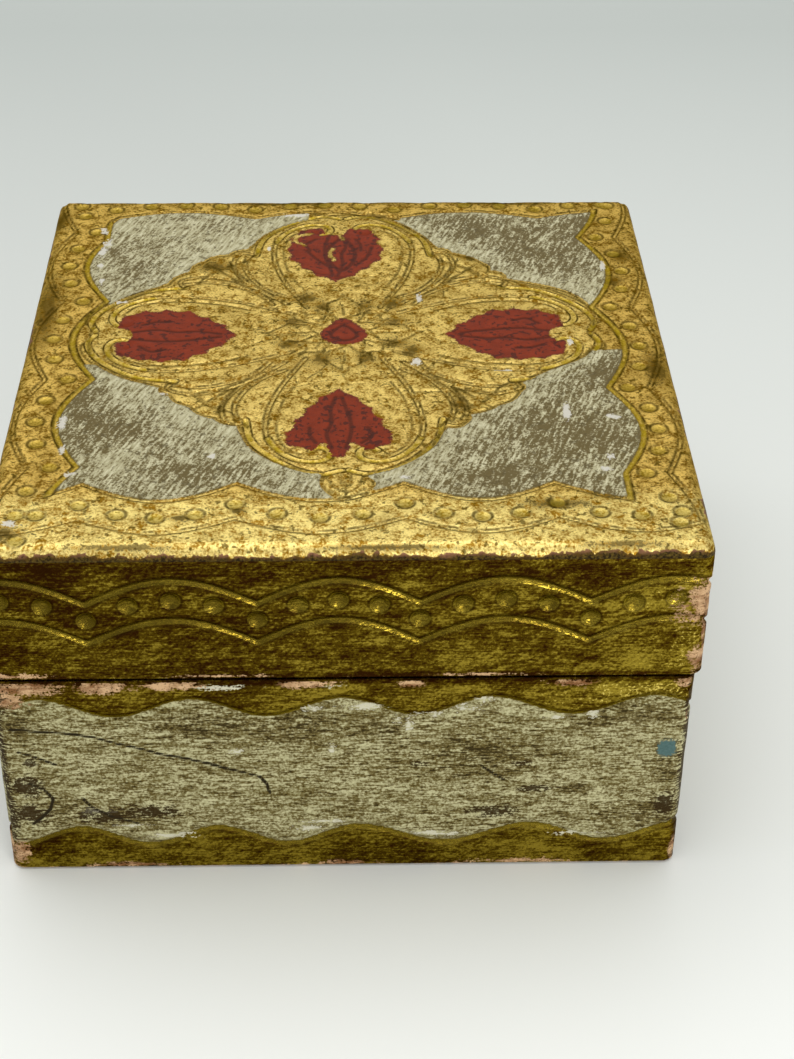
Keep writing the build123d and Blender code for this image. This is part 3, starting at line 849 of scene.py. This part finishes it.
# the cream corners lie between border and diamond, parted where gold joins the two
in_diamond = inland(spot, diamond, far_off)
cream = np.minimum(field, -in_diamond)
for low_x, high_x, low_y, high_y in (
    (-48, -40.6, -3.7, 16.3), (41.8, 50, 0.5, 15.1), (-5.6, 10.7, 48, 54)
):
    bridge = [(low_x, low_y), (high_x, low_y), (high_x, high_y), (low_x, high_y)]
    cream = np.minimum(cream, -inland(spot, np.array(bridge, float)))
sides_only = np.abs(np.minimum(inner_edges[0], inner_edges[1])) * border_slant
yellow = np.minimum(yellow, np.maximum(sides_only, np.abs(field)))
yellow = np.where(on_top, yellow, tool_reach)
groove = np.minimum.reduce([ornament, np.abs(outer_field), np.abs(field)])
groove = np.where(on_top, groove, tool_reach)
# painted light on the top's gold: a painted highlight along the front border, and the diamond's gold
# lighter than the border's
painted_light = 0.34 + 0.3 * np.clip(in_diamond / 3 + 0.6, 0, 1) + 0.62 * np.clip((-40 - y) / 5, 0, 1)
worn = patches(x, y, [
    (36, -25, 20, 20), (42, -10, 9, 12), (38, 38, 17, 17), (44, 46, 8, 8), (-44, -12, 8, 9),
    (-40, -24, 12, 10), (-38, 28, 9, 12), (-22, -36, 12, 5), (26, -38, 14, 8), (24, 44, 9, 8),
])
worn = np.clip(worn, 0, 0.7) - 0.6 * np.clip(1 + in_diamond / 5, 0, 1) - 0.3 * (y > 10) * (x < 0)
chalk = patches(x, y, [
    (-42.4, 38.6, 0.9, 2.4), (-43, 35.4, 0.8, 2.4), (-43.5, 43.6, 0.9, 1.3), (-42.9, 30, 0.6, 1.1),
    (-42.2, 24, 0.5, 1.2), (-8.4, 49.8, 3, 0.8), (-44.2, -22.3, 0.8, 2.4), (-43.4, -29.5, 0.5, 1.6),
    (-20, -31.6, 0.7, 0.9), (-41.6, -36.4, 1, 0.6), (43.3, -21, 1.4, 0.8), (40.6, -35.8, 1.1, 0.9),
    (36, -19, 0.7, 2.6), (41.6, -32.4, 0.8, 0.8), (12.3, -3.6, 1.1, 1.4), (13.6, 18.2, 0.7, 1.5),
    (-38, 16.9, 1.5, 0.7), (-13, 36.2, 0.4, 1.3), (46.9, 29.5, 0.5, 2.6), (-49, -49.5, 1.3, 1),
    (38.6, 2.8, 0.6, 2), (9.6, -37.8, 1.2, 0.5), (-29, -13.4, 0.8, 0.5), (27, -6.4, 2, 0.4),
])
grime = patches(x, y, [
    (-22.6, 29.6, 4.6, 3.4), (-13.5, 8, 1.1, 1), (48, 24, 3, 3), (50.5, 33, 3, 4),
    (-15.5, -46.5, 2, 1.5), (-24, -48.3, 2.2, 1.4), (41, -42.6, 6, 1.6), (32, -45, 8, 2.2),
    (-50, -52, 5, 3), (-32, -55.3, 12, 0.8), (6, -55.5, 15, 0.7), (41, -55.2, 10, 0.9),
    (-50.5, 14, 3, 18), (52, -6, 3, 9), (-6, 18, 3, 3), (9, 16, 3, 3), (-9, 2, 3, 2),
    (12, 0, 3, 3), (-52, 48, 3, 6), (30, 54.5, 14, 1.2), (-10, 54.5, 16, 1.2), (23, 33, 3, 2),
    (19, -17, 2, 3),
])
from_rosette = np.hypot(x - middle[0], y - middle[1])
petal_gap = np.abs(np.sin(4 * np.arctan2(y - middle[1], x - middle[0]))) ** 3
grime = np.maximum(grime, petal_gap * (1 - np.abs(from_rosette - 9.5) / 4) * 0.8)
scratch_depth, scratch_breadth = 0.14, 0.42
top_press = pressed(np.minimum(groove, yellow), bead, breadth=0.55, cut=0.3, punch=0.24)
top_press += hill * uneven(top_places)
top_press += scratch_depth * np.clip(1 - (fine / scratch_breadth) ** 2, 0, 1)
top_places -= top_out * np.where(top_outer, top_press, 0)[:, None]
top_marks = {
    "cream": cream,
    "red": red,
    "groove": groove,
    "yellow": yellow,
    "bead": bead,
    "fine": fine,
    "painted_light": painted_light,
    "worn": worn,
    "chalk": chalk,
    "grime": grime,
    "edge": 1 - top_out[:, 2],
}
lid_gilded_top = settle(top, top_places, "lid_gilded_top", top_marks, top_outer)

# Leaf gold over bole, toned with an umber glaze that stays in the hollows; tempera for the cream
# corners, scuffed through to the brown ground; vermilion and lake for the leaves.
gilt = blank("top_water_gilding_and_tempera")
place = node(gilt, "TexCoord", "Object")
brushed = node(
    gilt, "Mapping", Vector=place, vector_type="TEXTURE", Rotation=(0, 0, 1.2), Scale=(5, 1, 1)
)
grit = node(gilt, "TexNoise", Vector=place, Scale=2400, Detail=4, Roughness=0.62)
mottle = node(gilt, "TexNoise", Vector=place, Scale=520, Detail=4, Roughness=0.6)
cloud = node(gilt, "TexNoise", Vector=place, Scale=95, Detail=4, Roughness=0.6)
speck = node(gilt, "TexNoise", Vector=place, Scale=1150, Detail=2, Roughness=0.5)
scuff = node(gilt, "TexNoise", Vector=brushed, Scale=2000, Detail=4, Roughness=0.65)
patchy = node(gilt, "Math", ins=(grit, mottle), operation="ADD")
broken = node(gilt, "MapRange", ins=(mottle, 0.38, 0.58, 0.15, 1))
ragged = node(gilt, "MapRange", ins=(grit, 0, 1, -0.4, 0.4))
marks = {mark: node(gilt, "Attribute", "Fac", attribute_name=mark) for mark in top_marks}

# leaf gold, its mottle partly a painted sparkle and brighter where the painted light is laid on,
# with umber specks, smoke and grime over it
mottle_and_painted_sheen = node(gilt, "Math", ins=(grit, 0.5), operation="MULTIPLY")
mottle_and_painted_sheen = node(gilt, "Math", ins=(mottle, 0.5, mottle_and_painted_sheen), operation="MULTIPLY_ADD")
mottle_and_painted_sheen = node(gilt, "MapRange", ins=(mottle_and_painted_sheen, 0.41, 0.56))
shadow_gold = node(gilt, "MixRGB", ins=(marks["painted_light"], hue("#5A3F0C"), hue("#9A721E")))
bright_gold = node(gilt, "MixRGB", ins=(marks["painted_light"], hue("#D8AA48"), hue("#FFE890")))
gold = node(gilt, "MixRGB", ins=(mottle_and_painted_sheen, shadow_gold, bright_gold))
soiled = node(gilt, "Math", ins=(marks["grime"], 0.42, patchy), operation="MULTIPLY_ADD")
for part, start, full, dense, tone in (
    (speck, 0.6, 0.67, 0.8, "#54420F"),
    (cloud, 0.5, 0.72, 0.4, "#7A5E24"),
    (soiled, 1.14, 1.3, 0.85, "#4A3712"),
):
    cover = node(gilt, "MapRange", ins=(part, start, full, 0, dense))
    gold = node(gilt, "MixRGB", ins=(cover, gold, hue(tone)))

# tooled lines: clean gold along the middle, on the bright lines partly a painted highlight, umber
# left along both sides, broken by wear; each row says between which distances from the tool's path a
# tone comes in and goes out
rubbed_clean = node(gilt, "MapRange", ins=(mottle, 0.35, 0.6, 0.8, 0.3))
from_middle = (-1, 0)
for mark, comes_in, goes_out, wear, dense, tone in (
    ("groove", (0.1, 0.28), (0.74, 0.44), broken, 0.85, "#45350D"),
    ("yellow", from_middle, (0.52, 0.28), rubbed_clean, 1, "#B2992A"),
    ("yellow", (0.38, 0.54), (0.92, 0.66), broken, 1, "#4A3A10"),
    ("bead", from_middle, (1.3, 1.0), 1, 0.45, "#A8922E"),
    ("bead", (1.05, 1.3), (1.85, 1.55), broken, 0.85, "#4A3A10"),
    ("fine", from_middle, (0.36, 0.16), broken, 0.8, "#46370F"),
):
    line = node(gilt, "MapRange", ins=(marks[mark], *comes_in))
    outside = node(gilt, "MapRange", ins=(marks[mark], *goes_out))
    for share in (outside, wear, dense):
        line = node(gilt, "Math", ins=(line, share), operation="MULTIPLY")
    gold = node(gilt, "MixRGB", ins=(line, gold, hue(tone)))

# cream corners, with a dark line where they meet the gold
rubbed = 0
for part, share in ((scuff, 1), (grit, 1), (marks["worn"], 0.2), (cloud, 0.5), (mottle, 0.35)):
    rubbed = node(gilt, "Math", ins=(part, share, rubbed), operation="MULTIPLY_ADD")
thinned = node(gilt, "MapRange", ins=(rubbed, 1.3, 1.5, 0, 0.5))
through = node(gilt, "MapRange", ins=(rubbed, 1.43, 1.56, 0, 0.95))
flecks = node(gilt, "MapRange", ins=(speck, 0.6, 0.66, 0, 0.75))
from_gold = node(gilt, "Math", ins=(marks["cream"], ragged), operation="ADD")
dark_rim = node(gilt, "MapRange", ins=(from_gold, 0.75, 0.35))
dark_rim = node(gilt, "Math", ins=(dark_rim, broken), operation="MULTIPLY")
cream = node(gilt, "MapRange", ins=(scuff, 0.35, 0.6))
cream = node(gilt, "MixRGB", ins=(cream, hue("#C8C29F"), hue("#9C9470")))
for cover, tone in (
    (thinned, "#8A7F58"), (through, "#5E502C"), (flecks, "#554A2C"), (dark_rim, "#4F4630")
):
    cream = node(gilt, "MixRGB", ins=(cover, cream, hue(tone)))
is_cream = node(gilt, "MapRange", ins=(from_gold, 0.34, 0.48))
colour = node(gilt, "MixRGB", ins=(is_cream, gold, cream))

# red leaves
veins = node(gilt, "MapRange", ins=(marks["fine"], 0.5, 0.2, 0, 0.75))
dots = node(gilt, "MapRange", ins=(speck, 0.55, 0.62, 0, 0.8))
from_rim = node(gilt, "Math", ins=(ragged, 2.4, marks["red"]), operation="MULTIPLY_ADD")
dark_rim = node(gilt, "MapRange", ins=(from_rim, 0.6, 0.25))
dark_rim = node(gilt, "Math", ins=(dark_rim, broken), operation="MULTIPLY")
red_paint = node(gilt, "MixRGB", ins=(mottle, hue("#8E3014"), hue("#5C1A08")))
for cover, tone in ((veins, "#43150A"), (dots, "#3C1410"), (dark_rim, "#5A1E14")):
    red_paint = node(gilt, "MixRGB", ins=(cover, red_paint, hue(tone)))
is_red = node(gilt, "MapRange", ins=(from_rim, -0.02, 0.12))
colour = node(gilt, "MixRGB", ins=(is_red, colour, red_paint))

# chips of chalk, and the turned edge rubbed to bole and then, down the upright face, to a painted
# shade
chip = node(gilt, "MapRange", ins=(patchy, 0, 2, -2.2, 2.2))
chip = node(gilt, "Math", ins=(marks["chalk"], chip), operation="ADD")
chip = node(gilt, "MapRange", ins=(chip, 0.1, 0.35, 0, 0.9))
colour = node(gilt, "MixRGB", ins=(chip, colour, hue("#CFCABD")))
turned = node(gilt, "Math", ins=(mottle, 1.5, marks["edge"]), operation="MULTIPLY_ADD")
turned = node(gilt, "Math", ins=(cloud, 1.2, turned), operation="MULTIPLY_ADD")
turned = node(gilt, "Math", ins=(turned, 1.0), operation="SUBTRACT")
to_bole = node(gilt, "MapRange", ins=(mottle, 0.5, 0.62))
bole = node(gilt, "MixRGB", ins=(to_bole, hue("#4E3610"), hue("#8A6048")))
painted_shade_side = node(gilt, "MapRange", ins=(grit, 0.42, 0.62))
painted_shade_side = node(gilt, "MixRGB", ins=(painted_shade_side, hue("#1E1204"), hue("#5A4818")))
to_painted_shade = node(gilt, "MapRange", ins=(turned, 0.95, 1.2))
bole_and_painted_shade = node(gilt, "MixRGB", ins=(to_painted_shade, bole, painted_shade_side))
is_edge = node(gilt, "MapRange", ins=(turned, 0.84, 0.94))
colour = node(gilt, "MixRGB", ins=(is_edge, colour, bole_and_painted_shade))

# only leaf gold shines
dull = node(gilt, "Math", ins=(is_edge, 0.7), operation="MULTIPLY")
paint = is_cream
for cover in (is_red, chip, dull):
    paint = node(gilt, "Math", ins=(paint, cover), operation="MAXIMUM")
metal = node(gilt, "MapRange", ins=(paint, 0, 1, 1, 0))
gloss = node(gilt, "MapRange", ins=(grit, 0.35, 0.65, 0.52, 0.34))
gloss = node(gilt, "MixRGB", ins=(paint, gloss, (0.62, 0.62, 0.62, 1)))
tooth = node(gilt, "Math", ins=(through, -0.35, patchy), operation="MULTIPLY_ADD")
ridge = node(gilt, "Bump", Strength=0.55, Distance=0.00014, Height=tooth)
skin = node(
    gilt,
    "BsdfPrincipled",
    Base_Color=colour,
    Metallic=metal,
    Roughness=gloss,
    Normal=ridge,
    Specular_IOR_Level=0.25,
    Specular_Tint=hue("#D8C8A0"),
)
node(gilt, "OutputMaterial", Surface=skin)
lid_gilded_top.data.materials.append(gilt)
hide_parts("lid_gilt_gesso")
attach(lid_gilded_top, "lid")


# The studio. A pale floor, an even pale sky and two soft lamps, seen from the viewer's place
# above the front with a lens of 70 mm.
studio = bmesh.new()
bmesh.ops.create_grid(studio, x_segments=8, y_segments=8, size=3)
ground = bpy.data.meshes.new("studio_floor")
studio.to_mesh(ground)
studio.free()
studio_floor = bpy.data.objects.new("studio_floor", ground)
bpy.context.scene.collection.objects.link(studio_floor)
paper = blank("pale_floor")
paper_place = node(paper, "TexCoord", "Object")
paper_y = node(paper, "SeparateXYZ", 1, ins=(paper_place,))
# the floor is painted lighter in front of the box and darker towards the back, a painted light
# falloff
paper_painted_falloff = node(paper, "MapRange", ins=(paper_y, -0.1, 0.3))
paper_tone = node(paper, "MixRGB", ins=(paper_painted_falloff, hue("#F0F1EC"), hue("#BCC1BC")))
paper_skin = node(paper, "BsdfPrincipled", Base_Color=paper_tone, Roughness=0.6)
node(paper, "OutputMaterial", Surface=paper_skin)
ground.materials.append(paper)

sky = bpy.data.worlds.new("soft_studio")
bpy.context.scene.world = sky
sky.use_nodes = True
sky.node_tree.nodes["Background"].inputs["Color"].default_value = hue("#F4F6F6")
sky.node_tree.nodes["Background"].inputs["Strength"].default_value = 0.7


def softbox(name, spot, target, width, height, power):
    """A soft lamp turned to its target."""
    lamp = bpy.data.lights.new(name, "AREA")
    lamp.shape = "RECTANGLE"
    lamp.size = width
    lamp.size_y = height
    lamp.energy = power
    hung = bpy.data.objects.new(name, lamp)
    hung.location = spot
    hung.rotation_euler = (Vector(target) - Vector(spot)).to_track_quat("-Z", "Y").to_euler()
    bpy.context.scene.collection.objects.link(hung)


box_middle = (0, 0, 0.04)
softbox("soft_top", (-0.1, 0.15, 0.95), box_middle, width=1.0, height=1.0, power=5)
softbox("front_lamp", (0.31, -0.7, 0.22), box_middle, width=0.34, height=0.14, power=2.4)

yaw, pitch, roll = math.radians(1.8), math.radians(35.55), math.radians(0.68)
look = Vector((math.sin(yaw) * math.cos(pitch), math.cos(yaw) * math.cos(pitch), -math.sin(pitch)))
level = Vector((math.cos(yaw), -math.sin(yaw), 0))
upright = level.cross(look)
right = level * math.cos(roll) + upright * math.sin(roll)
up = upright * math.cos(roll) - level * math.sin(roll)
lens = bpy.data.cameras.new("viewer")
lens.lens = 69.7
lens.sensor_width = 36
lens.clip_start = 0.01
viewer = bpy.data.objects.new("viewer", lens)
bpy.context.scene.collection.objects.link(viewer)
eye = Matrix.Translation((0.00032, -0.29657, 0.23906))
viewer.matrix_world = eye @ Matrix((right, up, -look)).transposed().to_4x4()
bpy.context.scene.camera = viewer
bpy.context.scene.view_settings.view_transform = "Standard"
